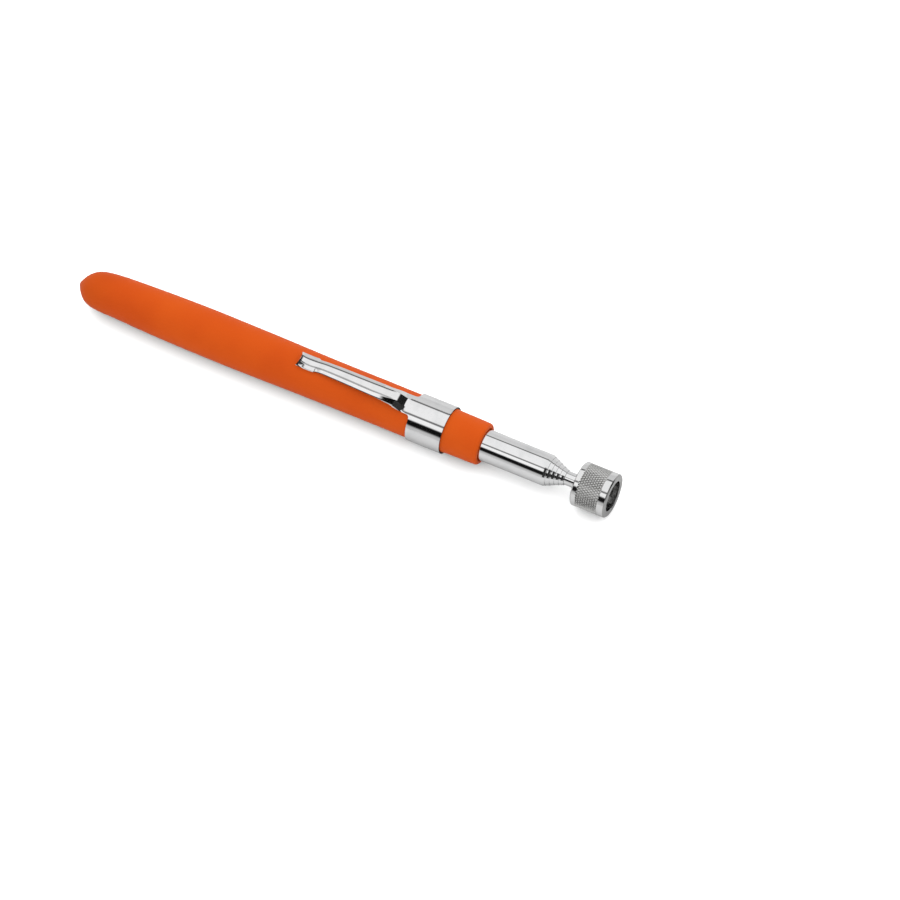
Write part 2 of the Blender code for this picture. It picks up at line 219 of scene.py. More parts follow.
class Nodes:
    """Thin wrapper that keeps node building readable."""

    def __init__(self, tree):
        self.tree = tree

    def add(self, kind, **settings):
        node = self.tree.nodes.new(kind)
        for key, value in settings.items():
            setattr(node, key, value)
        return node

    def link(self, output, target):
        self.tree.links.new(output, target)

    def object_coords(self):
        return self.add("ShaderNodeTexCoord").outputs["Object"]

    def attribute(self, name):
        return self.add("ShaderNodeAttribute", attribute_name=name).outputs["Fac"]

    def math(self, operation, *values, clamped=False):
        node = self.add("ShaderNodeMath", operation=operation, use_clamp=clamped)
        for socket, value in zip(node.inputs, values):
            if isinstance(value, bpy.types.NodeSocket):
                self.link(value, socket)
            else:
                socket.default_value = value
        return node.outputs[0]

    def scaled(self, value, gain):
        return self.math("MULTIPLY", value, gain)

    def linear(self, value, gain, base):
        return self.math("ADD", self.scaled(value, gain), base)

    def ramp(self, value, *stops):
        """Colour ramp; each stop is a position and a grey level or RGB triple."""
        node = self.add("ShaderNodeValToRGB")
        elements = node.color_ramp.elements
        while len(elements) > 1:
            elements.remove(elements[-1])
        elements[0].position = stops[0][0]
        elements[0].color = rgba(stops[0][1])
        for position, colour in stops[1:]:
            elements.new(position).color = rgba(colour)
        self.link(value, node.inputs[0])
        return node.outputs[0]

    def mix(self, factor, first, second):
        node = self.add("ShaderNodeMix", data_type="RGBA")
        self.link(factor, node.inputs[0])
        for socket, value in ((node.inputs[6], first), (node.inputs[7], second)):
            if isinstance(value, bpy.types.NodeSocket):
                self.link(value, socket)
            else:
                socket.default_value = rgba(value)
        return node.outputs[2]

    def multiply(self, first, second):
        node = self.add("ShaderNodeMix", data_type="RGBA", blend_type="MULTIPLY")
        node.inputs[0].default_value = 1.0
        self.link(first, node.inputs[6])
        self.link(second, node.inputs[7])
        return node.outputs[2]

    def noise(self, vector, scale, detail=2.0, rough=0.5, stretch=(1.0, 1.0, 1.0)):
        mapping = self.add("ShaderNodeMapping")
        mapping.inputs["Scale"].default_value = stretch
        self.link(vector, mapping.inputs["Vector"])
        texture = self.add("ShaderNodeTexNoise")
        texture.inputs["Scale"].default_value = scale
        texture.inputs["Detail"].default_value = detail
        texture.inputs["Roughness"].default_value = rough
        self.link(mapping.outputs["Vector"], texture.inputs["Vector"])
        return texture.outputs["Fac"]

    def bump(self, bsdf, height, strength, distance):
        node = self.add("ShaderNodeBump")
        node.inputs["Strength"].default_value = strength
        node.inputs["Distance"].default_value = distance
        self.link(height, node.inputs["Height"])
        self.link(node.outputs["Normal"], bsdf.inputs["Normal"])


def base_material(name):
    mat = bpy.data.materials.new(name)
    mat.use_nodes = True
    return mat, Nodes(mat.node_tree), mat.node_tree.nodes["Principled BSDF"]


# ------------------------------------------------------------------ materials


def chrome(name, tint=(0.90, 0.90, 0.905), rough=0.045, wear=0.05, crease_shaded=False):
    """Bright plate: clean mirror, hairline scratches along the tool, faint handling haze."""
    haze = (0.82, 0.825, 0.83)
    mat, nodes, bsdf = base_material(name)
    coords = nodes.object_coords()
    cloud = nodes.noise(coords, scale=260.0, detail=3.0, rough=0.55)
    hair = nodes.noise(coords, scale=2600.0, rough=0.6, stretch=(0.03, 1.0, 1.0))
    colour = nodes.ramp(cloud, (0.30, haze), (0.55, tint), (1.0, tint))
    if crease_shaded:
        # painted shade: the pressed lines are darkened towards near-black, standing in for the dark
        # reflection and shade in the creases
        crease_shade = nodes.scaled(nodes.attribute("crease_shade_paint"), gain=0.93)
        colour = nodes.mix(crease_shade, colour, 0.035)
    nodes.link(colour, bsdf.inputs["Base Color"])
    bsdf.inputs["Metallic"].default_value = 1.0
    scratches = nodes.ramp(hair, (0.60, 0.0), (0.74, 1.0))
    worn = nodes.math("ADD", nodes.scaled(cloud, gain=wear), nodes.scaled(scratches, gain=wear))
    # the haze averages about a third, so this keeps the mean roughness near rough
    total = nodes.math("ADD", worn, rough - wear * 0.35)
    smoothest = 0.02
    nodes.link(nodes.math("MAXIMUM", total, smoothest), bsdf.inputs["Roughness"])
    nodes.bump(bsdf, hair, strength=0.02, distance=0.00002)
    return mat


def vinyl(name):
    """Dip-moulded orange vinyl: satin skin, fine orange peel, slight colour drift."""
    deep, main, pale = (0.625, 0.078, 0.0055), (0.668, 0.089, 0.0060), (0.695, 0.100, 0.0075)
    dusty = (0.80, 0.26, 0.10)
    bounced = (0.16, 0.085, 0.06)
    darken_start, darken_length = 2.3, 14.0      # station and length of the darker end
    mat, nodes, bsdf = base_material(name)
    coords = nodes.object_coords()
    drift = nodes.noise(coords, scale=55.0)
    speck = nodes.noise(coords, scale=900.0, detail=3.0, rough=0.6)
    colour = nodes.ramp(drift, (0.30, deep), (0.50, main), (0.72, pale))
    dust = nodes.ramp(speck, (0.66, 0.0), (0.80, 1.0))
    colour = nodes.mix(nodes.scaled(dust, gain=0.05), colour, dusty)
    # the skin gets darker towards the closed end
    place = nodes.add("ShaderNodeSeparateXYZ")
    nodes.link(coords, place.inputs[0])
    from_end = nodes.math("SUBTRACT", place.outputs["X"], world_x(darken_start))
    along = nodes.math("DIVIDE", from_end, darken_length * MM, clamped=True)
    colour = nodes.multiply(colour, nodes.ramp(along, (0.0, 0.86), (0.45, 0.90), (1.0, 1.0)))
    # the pale floor stays neutral: only a little of the orange is thrown back on it
    path = nodes.add("ShaderNodeLightPath")
    colour = nodes.mix(path.outputs["Is Diffuse Ray"], colour, bounced)
    nodes.link(colour, bsdf.inputs["Base Color"])
    rough = nodes.linear(drift, gain=0.10, base=0.36)
    rough = nodes.math("ADD", rough, nodes.scaled(speck, gain=0.06))
    nodes.link(rough, bsdf.inputs["Roughness"])
    bsdf.inputs["IOR"].default_value = 1.52
    bsdf.inputs["Specular IOR Level"].default_value = 0.07
    bsdf.inputs["Sheen Weight"].default_value = 0.0
    bsdf.inputs["Sheen Roughness"].default_value = 0.4
    peel = nodes.noise(coords, scale=1500.0)
    wave = nodes.noise(coords, scale=160.0, stretch=(0.5, 1.0, 1.0))
    height = nodes.math("ADD", nodes.scaled(peel, gain=0.35), nodes.scaled(wave, gain=1.6))
    nodes.bump(bsdf, height, strength=0.22, distance=0.00006)
    return mat


def knurled(name):
    """Plated diamond knurl: bright crests, and duller grooves with painted shade in them."""
    crest_colour, groove_shade_colour = (0.82, 0.82, 0.81), (0.26, 0.255, 0.245)
    grain_lift = 0.45                        # evens out the grain's hold on the grooves
    mat, nodes, bsdf = base_material(name)
    coords = nodes.object_coords()
    depth = nodes.attribute("groove")
    grain = nodes.noise(coords, scale=1800.0, detail=3.0, rough=0.6)
    groove = nodes.math("MULTIPLY", depth, nodes.math("ADD", grain, grain_lift), clamped=True)
    # painted shade: the grooves' colour darkens with their depth, standing in for the shade in the
    # knurl's hollows
    nodes.link(nodes.mix(groove, crest_colour, groove_shade_colour), bsdf.inputs["Base Color"])
    bsdf.inputs["Metallic"].default_value = 1.0
    rough = nodes.linear(groove, gain=0.22, base=0.10)
    rough = nodes.math("ADD", rough, nodes.scaled(grain, gain=0.06))
    nodes.link(rough, bsdf.inputs["Roughness"])
    return mat


def turned_metal(name, colour, dark, rough):
    """Machined metal with fine feed marks round the axis."""
    mat, nodes, bsdf = base_material(name)
    coords = nodes.object_coords()
    marks = nodes.noise(coords, scale=3000.0, stretch=(1.0, 0.02, 0.02))
    cloud = nodes.noise(coords, scale=400.0, detail=3.0, rough=0.6)
    nodes.link(nodes.ramp(cloud, (0.3, dark), (0.62, colour)), bsdf.inputs["Base Color"])
    bsdf.inputs["Metallic"].default_value = 1.0
    nodes.link(nodes.linear(marks, gain=0.16, base=rough - 0.08), bsdf.inputs["Roughness"])
    nodes.bump(bsdf, marks, strength=0.10, distance=0.00003)
    return mat


def moulded(name, colour, light):
    """Moulded plastic with a faint grain."""
    mat, nodes, bsdf = base_material(name)
    coords = nodes.object_coords()
    cloud = nodes.noise(coords, scale=500.0, detail=3.0, rough=0.6)
    nodes.link(nodes.ramp(cloud, (0.35, colour), (0.75, light)), bsdf.inputs["Base Color"])
    nodes.link(nodes.linear(cloud, gain=0.2, base=0.38), bsdf.inputs["Roughness"])
    nodes.bump(bsdf, nodes.noise(coords, scale=2400.0), strength=0.15, distance=0.00004)
    return mat


def floor_white(name):
    """Matt floor: nearly white to the camera, darker in reflections and bounced light."""
    mat, nodes, bsdf = base_material(name)
    path = nodes.add("ShaderNodeLightPath")
    bounced, seen, mirrored = 0.42, 0.92, 0.35
    tone = nodes.mix(path.outputs["Is Camera Ray"], bounced, seen)
    tone = nodes.mix(path.outputs["Is Glossy Ray"], tone, mirrored)
    nodes.link(tone, bsdf.inputs["Base Color"])
    bsdf.inputs["Roughness"].default_value = 1.0
    bsdf.inputs["Specular IOR Level"].default_value = 0.0
    return mat


VINYL = vinyl("vinyl_orange")
CHROME_TUBE = chrome("chrome_tube")
CHROME_SECTION = chrome("chrome_section", rough=0.05)
# the clip's pressed lines carry painted shade
CHROME_CLIP = chrome("chrome_clip", rough=0.05, wear=0.06, crease_shaded=True)
CHROME_HEAD = chrome("chrome_head", tint=(0.86, 0.86, 0.86), rough=0.07, wear=0.08)
# cut front edge of the clip band: near-black, painted dark reflection and shade on a real cut edge
CUT_EDGE_SHADED = turned_metal("clip_cut_edge_painted_dark", colour=(0.085, 0.08, 0.075), dark=(0.04, 0.038, 0.036),
                        rough=0.42)
KNURL = knurled("chrome_knurl")
RIM = turned_metal("rim_turned", colour=(0.49, 0.49, 0.485), dark=(0.39, 0.39, 0.385), rough=0.17)
# the magnet's recess wall is a darker grey than the shell
RECESS = turned_metal("recess_darker", colour=(0.46, 0.46, 0.455), dark=(0.35, 0.35, 0.345),
                      rough=0.10)
NICKEL = turned_metal("magnet_nickel", colour=(0.38, 0.378, 0.37), dark=(0.28, 0.278, 0.27),
                      rough=0.10)
STEEL = turned_metal("turned_steel", colour=(0.52, 0.525, 0.53), dark=(0.40, 0.405, 0.41),
                     rough=0.32)
BRONZE = turned_metal("shim_bronze", colour=(0.62, 0.36, 0.16), dark=(0.48, 0.26, 0.10),
                      rough=0.34)
NYLON = moulded("plug_nylon", colour=(0.012, 0.012, 0.013), light=(0.020, 0.020, 0.022))

# ------------------------------------------------------------------ grip sleeve

SLEEVE_TIP, SLEEVE_FRONT = stations_of("grip_sleeve")
SLEEVE_FLOOR = 8.2                # station of the blind end of the bore
SLEEVE_BORE = 4.52
LIP_OUT = 6.06                    # outer radius at the front lip
LIP_ROUND = 0.8
LIP_STEPS = 8

# the closed end sags: how far at the tip, over what length, and which way in Y and Z
DROOP = 0.49
DROOP_REACH = 12.7
DROOP_SIDE = (-0.92, -0.39)

# outside of the sleeve from front to closed end: (station, radius)
SLEEVE_KEYS = (
    (SLEEVE_FRONT - LIP_ROUND, LIP_OUT), (126.03, 6.138), (121.84, 6.173), (119.8, 6.205),
    (119.0, 6.27), (118.2, 6.325), (116.4, 6.325), (112.0, 6.32), (109.0, 6.32), (107.5, 6.335),
    (105.6, 6.31), (96.06, 6.339), (84.25, 6.364), (72.5, 6.467), (60.8, 6.609), (43.35, 6.683),
    (31.79, 6.551), (23.15, 6.325), (16.84, 6.065), (11.39, 5.815), (8.15, 5.394), (6.25, 4.733),
    (5.11, 3.975), (4.35, 3.277), (3.68, 2.472), (3.11, 1.667), (2.64, 0.892), (2.37, 0.368),
    (SLEEVE_TIP, 0.0))


def sleeve_outline():
    """Bore from its blind end forwards, round the lip and back along the outside."""
    bore = rounded([(SLEEVE_FLOOR, 0.0), (SLEEVE_FLOOR, SLEEVE_BORE, 0.5),
                    (SLEEVE_FRONT - 0.6, SLEEVE_BORE), (SLEEVE_FRONT, 4.85)])
    lip = [(SLEEVE_FRONT, 5.05)]
    for k in range(LIP_STEPS + 1):
        angle = math.radians(90.0) * k / LIP_STEPS
        lip.append((SLEEVE_FRONT - LIP_ROUND * (1 - math.cos(angle)),
                    LIP_OUT - LIP_ROUND + LIP_ROUND * math.sin(angle)))
    return bore + lip + list(catmull_rom(SLEEVE_KEYS, 0.9)[1:])


def soften_sleeve(mesh):
    """Sags the closed end and makes the outer skin slightly uneven."""
    for vertex in mesh.vertices:
        spot = vertex.co
        station = station_of(spot.x)
        radius = math.hypot(spot.y, spot.z) / MM
        outside = station < SLEEVE_FLOOR - 0.01 or radius > SLEEVE_BORE + 0.1
        if outside and station - SLEEVE_TIP < DROOP_REACH:
            sag = DROOP * (1.0 - (station - SLEEVE_TIP) / DROOP_REACH) * MM
            spot.y += DROOP_SIDE[0] * sag
            spot.z += DROOP_SIDE[1] * sag
        if outside and radius > 4.7 and station < 128.0:
            # two slow waves that wind round the skin in opposite senses
            angle = math.atan2(spot.y, spot.z)
            swell = (0.018 * math.sin(2 * angle + 0.11 * station)
                     + 0.012 * math.sin(3 * angle - 0.23 * station + 1.0))
            spot.y += math.sin(angle) * swell * MM
            spot.z += math.cos(angle) * swell * MM


grip = turned("grip_sleeve_vinyl", sleeve_outline(), VINYL, segments=176, sharp=40.0, closed=False)
soften_sleeve(grip.data)
register(grip, "grip_sleeve", "handle")

# ------------------------------------------------------------------ tubes

# from the outermost in: (CAD piece, body it rides)
TUBES = (("body_tube", "handle"), ("stage_1_tube", "section_1"), ("stage_2_tube", "section_2"),
         ("stage_3_tube", "section_3"), ("stage_4_tube", "section_4"), ("rod_tube", "tip"))
BODY_RADIUS = 4.5
RADIUS_STEP = 0.5                 # each tube is this much smaller than the one round it
BODY_WALL = 0.40
SECTION_WALL = 0.35
MOUTH_GAP = 0.05                  # clearance of a mouth round the next tube
MOUTH_OVERRUN = 0.25              # how far a rolled mouth stands past the CAD end
MOUTH_REACH = 0.86                # length of the rolled part
MOUTH_CROWN = 0.14                # length of its rounded nose
GROOVE_DEPTH = 0.25               # groove pressed in near the tail
GROOVE_SPAN = (0.8, 5.6)          # its start and end from the tail

# shoulder behind the nose: (share of its length, share of its drop still left)
SHOULDER = ((0.25, 0.80), (0.50, 0.55), (0.72, 0.29), (0.88, 0.09), (1.0, 0.0))


def mouth_outline(mouth, radius, wall, opening):
    """Outside then inside points of a mouth rolled in on the next section."""
    mouth += MOUTH_OVERRUN
    tip = opening + 0.13
    knee = radius - (radius - tip) * 0.78
    outside = []
    for k in range(5):
        angle = math.radians(90.0) * k / 4
        outside.append((mouth - MOUTH_CROWN * (1 - math.cos(angle)),
                        tip + (knee - tip) * math.sin(angle)))
    for along, left in SHOULDER:
        outside.append((mouth - MOUTH_CROWN - (MOUTH_REACH - MOUTH_CROWN) * along,
                        radius - (radius - knee) * left))
    inside = [(mouth - MOUTH_REACH, radius - wall),
              (mouth - MOUTH_REACH + 0.2, opening + 0.03), (mouth - 0.05, opening)]
    return outside, inside


def tail_outline(tail, radius, wall, grooved):
    """Outside then inside points of the rear end."""
    if not grooved:
        return rounded([(tail + 2.0, radius), (tail, radius, 0.1), (tail, radius - wall)], 3), []
    start, end = (tail + reach for reach in GROOVE_SPAN)
    low = radius - GROOVE_DEPTH
    outside = rounded([
        (end + 2.0, radius), (end + 0.3, radius, 0.2), (end, low, 0.2), (start, low, 0.05),
        (start - 0.12, radius, 0.05), (tail, radius, 0.1), (tail, radius - wall)], 3)
    inside = [(start - 0.12, radius - wall), (start, low - wall), (end, low - wall),
              (end + 0.3, radius - wall)]
    return outside, inside


def tube(name, radius, is_body, is_last):
    tail, mouth = stations_of(name)
    wall = BODY_WALL if is_body else SECTION_WALL
    if is_last:
        mouth_out, mouth_in = [(mouth, radius)], [(mouth, radius - wall)]
    else:
        opening = radius - RADIUS_STEP + MOUTH_GAP
        mouth_out, mouth_in = mouth_outline(mouth, radius, wall, opening)
    # a few rings along the plain length keep long faces well shaped
    plain = [(mouth - (mouth - tail) * share, radius) for share in (0.12, 0.3, 0.5, 0.7, 0.85)]
    tail_out, tail_in = tail_outline(tail, radius, wall, grooved=not is_body)
    return turned(name + "_plated", mouth_out + plain + tail_out + tail_in + mouth_in,
                  CHROME_TUBE if is_body else CHROME_SECTION,
                  segments=144 if radius > 3.2 else 112, sharp=40.0)


for i, (node, body) in enumerate(TUBES):
    piece = tube(node, BODY_RADIUS - RADIUS_STEP * i, is_body=i == 0, is_last=i == len(TUBES) - 1)
    register(piece, node, body)

# ------------------------------------------------------------------ pocket clip

BAND_REAR, BAND_FRONT = stations_of("clip_band")
BAND_OUT = 6.86                   # outer radius of the band
SHEET = 0.45
TONGUE_FILLET = 0.95              # fillets where the tongue spreads into the band
TONGUE_HALF = 3.01                # half width of the tongue past the fillets
TONGUE_FLAT = 1.2                 # half width of its middle columns
TONGUE_STEPS = (0.0, 0.12, 0.3, 0.50, 0.75, 0.95)    # rows, counted back from the band
BAND_AROUND = 150                 # steps round the rest of the band
CREASE = 0.22                     # half width of the pressed line along each side of the flat
CREASE_DEPTH = 0.10
CREASE_COLUMN = 8                 # columns from the middle of the clip to a pressed line's middle
SMOOTHING = 5                     # rows to each side over which the arm's slope is averaged

# station, height of the upper face, full width, width of the flat, drop of the edges
ARM_KEYS = (
    (106.85, 6.85, 6.01, 2.38, 0.68), (106.2, 6.86, 5.98, 2.38, 0.70),
    (105.75, 6.95, 5.95, 2.37, 0.80), (105.3, 7.26, 5.90, 2.35, 1.05),
    (104.6, 7.80, 5.82, 2.30, 1.40), (103.9, 8.34, 5.70, 2.30, 1.64),
    (103.3, 8.71, 5.55, 2.30, 1.66), (102.8, 8.85, 5.42, 2.30, 1.56),
    (101.8, 8.89, 5.18, 2.28, 1.34), (100.21, 8.86, 4.94, 2.27, 1.09),
    (98.04, 8.81, 4.79, 2.22, 0.84), (95.57, 8.69, 4.69, 2.17, 0.73),
    (89.66, 8.33, 4.44, 1.97, 0.71), (83.76, 7.93, 4.19, 1.82, 0.68),
    (80.23, 7.62, 3.99, 1.76, 0.64), (78.57, 7.38, 3.99, 1.78, 0.62),
    (78.08, 7.30, 4.08, 1.78, 0.58), (77.68, 7.23, 4.53, 1.77, 0.45),
    (76.61, 7.11, 4.57, 1.82, 0.43), (75.34, 7.14, 4.57, 1.77, 0.46),
    (74.36, 7.35, 4.57, 1.72, 0.65), (73.58, 7.73, 4.52, 1.67, 0.98),
    (73.09, 8.08, 4.47, 1.62, 1.31))

# the clip is sprung on a little askew: (station, sideways lean of the arm)
ASKEW = ((72.9, 0.14), (77.0, 0.20), (80.5, 0.27), (86.0, 0.10), (91.5, -0.12), (96.0, -0.28),
         (100.5, -0.32), (103.2, -0.20), (106.0, 0.0))


def columns(half, inner):
    """Places across the clip, closest together at the two pressed lines and the edges."""
    flat = list(np.linspace(0.0, inner - CREASE, 5))
    line = list(np.linspace(inner - CREASE, inner + CREASE, 9))[1:]
    side = [inner + CREASE + (half - inner - CREASE) * math.sin(math.radians(90.0) * k / 12)
            for k in range(1, 13)]
    right = flat + line + side
    return [-y for y in reversed(right[1:])] + right


def flange_fall(over):
    """Unscaled drop at a share of the flange: soft crease, straight slope, edge curled down."""
    crease, curl, steep = 0.10, 0.82, 0.95
    fall = min(over, crease) ** 2 / (2 * crease) + max(0.0, over - crease)
    if over > curl:
        fall += steep * (over - curl) ** 2 / (2 * (1 - curl))
    return fall


def band_height(y):
    return math.sqrt(BAND_OUT * BAND_OUT - y * y)


def tongue_rows():
    """The tongue follows the band's cylinder and spreads into it through two fillets."""
    rows = []
    for back in TONGUE_STEPS:
        t = 1.0 - back / TONGUE_FILLET
        half = TONGUE_HALF + TONGUE_FILLET * (1.0 - math.sqrt(1.0 - t * t))
        rows.append([(BAND_REAR - back, y, band_height(y)) for y in columns(half, TONGUE_FLAT)])
    return rows


def arm_row(key, normal):
    """One row across the arm: a flat top with both edges turned down."""
    station, height, width, flat, drop = key
    half, inner = width / 2.0, flat / 2.0
    fade = clamp((102.0 - station) / 1.6)
    lean = float(np.interp(station, *zip(*ASKEW)))
    # ease from the band's curve into the channel section
    ease = clamp((106.8 - station) / 1.4)
    ease = ease * ease * (3 - 2 * ease)
    row = []
    for across in columns(half, inner):
        over = max(0.0, abs(across) - inner) / max(half - inner, 1e-6)
        channel = drop * flange_fall(over) / flange_fall(1.0)
        off = (abs(across) - inner) / CREASE
        if abs(off) < 1.0:
            channel += CREASE_DEPTH * fade * (0.5 + 0.5 * math.cos(math.pi * off))
        y = across + lean
        z = height - normal[1] * channel
        round_z = height - (BAND_OUT - band_height(y))
        row.append((station - normal[0] * channel, y, z * ease + round_z * (1 - ease)))
    return row


def arm_rows():
    dense = catmull_rom(ARM_KEYS, 0.28)
    slopes = np.gradient(dense[:, :2], axis=0)
    slopes /= np.linalg.norm(slopes, axis=1)[:, None]
    # the turned-down edges fan out evenly round the bends, so that they never fold over
    padded = np.vstack([slopes[:1]] * SMOOTHING + [slopes] + [slopes[-1:]] * SMOOTHING)
    slopes = sum(padded[k:k + len(dense)] for k in range(2 * SMOOTHING + 1))
    slopes /= np.linalg.norm(slopes, axis=1)[:, None]
    return [arm_row(key, (slope[1], -slope[0])) for key, slope in zip(dense, slopes)]


def add_band(verts, faces, first_row):
    """Runs the first row's columns on round the ring and forwards to the band's front edge."""
    half = TONGUE_HALF + TONGUE_FILLET
    half_angle = math.asin(half / BAND_OUT)
    angles = [math.asin(y / BAND_OUT) for y in columns(half, TONGUE_FLAT)]
    shared = len(angles)
    angles += [half_angle + (2 * math.pi - 2 * half_angle) * k / BAND_AROUND
               for k in range(1, BAND_AROUND)]
    previous = first_row + [len(verts) + k for k in range(BAND_AROUND - 1)]
    verts += [on_circle(BAND_REAR, BAND_OUT, angle) for angle in angles[shared:]]
    for station in [*np.linspace(BAND_REAR + 0.6, BAND_FRONT - 0.6, 14), BAND_FRONT]:
        ring = [len(verts) + k for k in range(len(angles))]
        verts += [on_circle(station, BAND_OUT, angle) for angle in angles]
        faces += bridge(previous, ring)
        previous = ring


def paint_crease_shade(mesh, rows, index):
    """Paints shade into the pressed lines as a darkening value per vertex, more weakly on the -Y
    side.
    """
    crease_shade_levels = np.zeros(len(mesh.vertices), np.float32)
    for row, vertices in zip(rows, index):
        middle = len(row) // 2
        fade = clamp((102.6 - row[middle][0]) / 1.2)
        for k, vertex in enumerate(vertices):
            column = k - middle
            share = 1.0 if column > 0 else 0.55
            nearness = max(0.0, 1.0 - abs(abs(column) - CREASE_COLUMN) / 4.6)
            crease_shade_levels[vertex] = share * fade * min(1.0, 1.6 * nearness)
    mesh.attributes.new("crease_shade_paint", "FLOAT", "POINT").data.foreach_set("value", crease_shade_levels)


def face_up(mesh):
    """Turns the open sheet's faces outwards, so that it thickens inwards."""
    bm = bmesh.new()
    bm.from_mesh(mesh)
    bmesh.ops.recalc_face_normals(bm, faces=bm.faces)
    top = max(bm.faces, key=lambda face: face.calc_center_median().z)
    if top.normal.z < 0.0:
        bmesh.ops.reverse_faces(bm, faces=bm.faces)
    bm.to_mesh(mesh)
    bm.free()


def thicken(obj):
    """Gives the sheet its thickness and softened edges, baked into the mesh."""
    sheet = obj.modifiers.new("sheet", "SOLIDIFY")
    sheet.thickness = SHEET * MM
    sheet.offset = -1.0
    sheet.use_even_offset = False
    edge = obj.modifiers.new("edge", "BEVEL")
    edge.width = 0.13 * MM
    edge.segments = 3
    edge.limit_method = "ANGLE"
    edge.angle_limit = math.radians(60.0)
    depsgraph = bpy.context.evaluated_depsgraph_get()
    mesh = bpy.data.meshes.new_from_object(obj.evaluated_get(depsgraph))
    obj.modifiers.clear()
    obj.data = mesh


def pocket_clip():
    rows = tongue_rows() + arm_rows()
    verts, faces, index = [], [], []
    for row in rows:
        index.append([len(verts) + k for k in range(len(row))])
        verts += [(world_x(station), y * MM, z * MM) for station, y, z in row]
    for near, far in zip(index, index[1:]):
        for k in range(len(near) - 1):
            faces.append((near[k], near[k + 1], far[k + 1], far[k]))
    add_band(verts, faces, index[0])
    obj = new_object("pocket_clip", verts, faces, CHROME_CLIP, sharp=50.0)
    # painted shade along the pressed lines
    paint_crease_shade(obj.data, rows, index)
    face_up(obj.data)
    thicken(obj)
    # the band's cut front edge gets a near-black colour: a real cut edge, with painted dark
    # reflection and shade of the slit in front of it
    mesh = obj.data
    mesh.materials.append(CUT_EDGE_SHADED)
    for poly in mesh.polygons:
        if poly.normal.x > 0.55 and station_of(poly.center.x) > BAND_FRONT - 0.3:
            poly.material_index = 1
    shade(mesh, 50.0)
    return obj


clip = pocket_clip()
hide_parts("clip_band", "clip_arm")
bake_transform(clip)

# ------------------------------------------------------------------ magnet head

HEAD_REAR, HEAD_FRONT = stations_of("head_shell")
HEAD_RADIUS = 6.35
RECESS_RADIUS = 4.35
KNURL_REAR, KNURL_FRONT = 159.4, 165.9
KNURL_DEPTH = 0.17
STARTS = 52                       # knurl grooves round the head, each way
PER_START = 8
HEAD_SEGMENTS = STARTS * PER_START
KNURL_PITCH = 2.0 * math.pi * HEAD_RADIUS / STARTS / math.tan(math.radians(30.0))

# stepped bore from the floor of the magnet's recess back to the rear face: (station, radius)
BORE = ((162.03, 3.05), (161.23, 3.05), (161.23, 1.63), (159.25, 1.63), (159.25, 2.03),
        (HEAD_REAR + 0.1, 2.03), (HEAD_REAR, 2.13))


def triangle_wave(value):
    value -= math.floor(value)
    return 1.0 - abs(2.0 * value - 1.0)


def knurl_height(station, k):
    """0 on a crest and 1 at the bottom of a groove, for the crossed helices."""
    around = k / PER_START
    along = (station - KNURL_REAR) / KNURL_PITCH
    crest = min(triangle_wave(around + along), triangle_wave(around - along))
    return 1.0 - min(1.0, crest * 1.75)


def head_rows():
    """(station, radius, share of the knurl's depth) from the rear, over the front and back in."""
    def plain(points):
        return [(station, radius, 0.0) for station, radius in points]

    rows = plain(rounded([
        (HEAD_REAR, 5.0), (HEAD_REAR, 5.95, 0.14), (HEAD_REAR + 0.36, HEAD_RADIUS, 0.14),
        (KNURL_REAR - 0.5, HEAD_RADIUS)], 4))
    rows += plain([(KNURL_REAR - 0.16, HEAD_RADIUS), (KNURL_REAR - 0.06, HEAD_RADIUS - 0.015)])
    count = int(round((KNURL_FRONT - KNURL_REAR) / KNURL_PITCH * PER_START))
    for i in range(count + 1):
        station = KNURL_REAR + (KNURL_FRONT - KNURL_REAR) * i / count
        share = min(1.0, i / 1.5 + 0.25, (count - i) / 1.5 + 0.25)
        rows.append((station, HEAD_RADIUS - 0.02, share))
    rows += plain([(KNURL_FRONT + 0.06, HEAD_RADIUS - 0.015), (KNURL_FRONT + 0.16, HEAD_RADIUS)])
    rows += plain(rounded([
        (KNURL_FRONT + 0.5, HEAD_RADIUS), (HEAD_FRONT - 0.34, HEAD_RADIUS, 0.09),
        (HEAD_FRONT, 6.0, 0.09), (HEAD_FRONT, 4.47, 0.05),
        (HEAD_FRONT - 0.12, RECESS_RADIUS, 0.04), (BORE[0][0], RECESS_RADIUS)], 4))
    return rows + plain(BORE)


def magnet_head():
    rows = head_rows()
    verts, faces, rings, depth = [], [], [], []
    for station, radius, share in rows:
        rings.append(range(len(verts), len(verts) + HEAD_SEGMENTS))
        for k in range(HEAD_SEGMENTS):
            groove = knurl_height(station, k) * share if share > 0.0 else 0.0
            angle = 2.0 * math.pi * k / HEAD_SEGMENTS
            verts.append(on_circle(station, radius - groove * KNURL_DEPTH, angle))
            depth.append(groove)
    for ring_a, ring_b in zip(rings, rings[1:] + rings[:1]):
        faces += bridge(ring_a, ring_b)
    obj = new_object("head_shell_knurled", verts, faces, CHROME_HEAD, sharp=30.0)
    mesh = obj.data
    for material in (KNURL, RECESS, RIM):
        mesh.materials.append(material)
    attribute = mesh.attributes.new("groove", "FLOAT", "POINT")
    attribute.data.foreach_set("value", np.array(depth, np.float32))
    for i, poly in enumerate(mesh.polygons):
        row = i // HEAD_SEGMENTS
        if math.hypot(poly.center.y, poly.center.z) < (RECESS_RADIUS + 0.07) * MM:
            poly.material_index = 2
        elif station_of(poly.center.x) > HEAD_FRONT - 0.33:
            poly.material_index = 3
        elif rows[row][2] > 0.0 or rows[(row + 1) % len(rows)][2] > 0.0:
            poly.material_index = 1
    face_out(obj, sharp=38.0)
    return obj


register(magnet_head(), "head_shell", "tip")

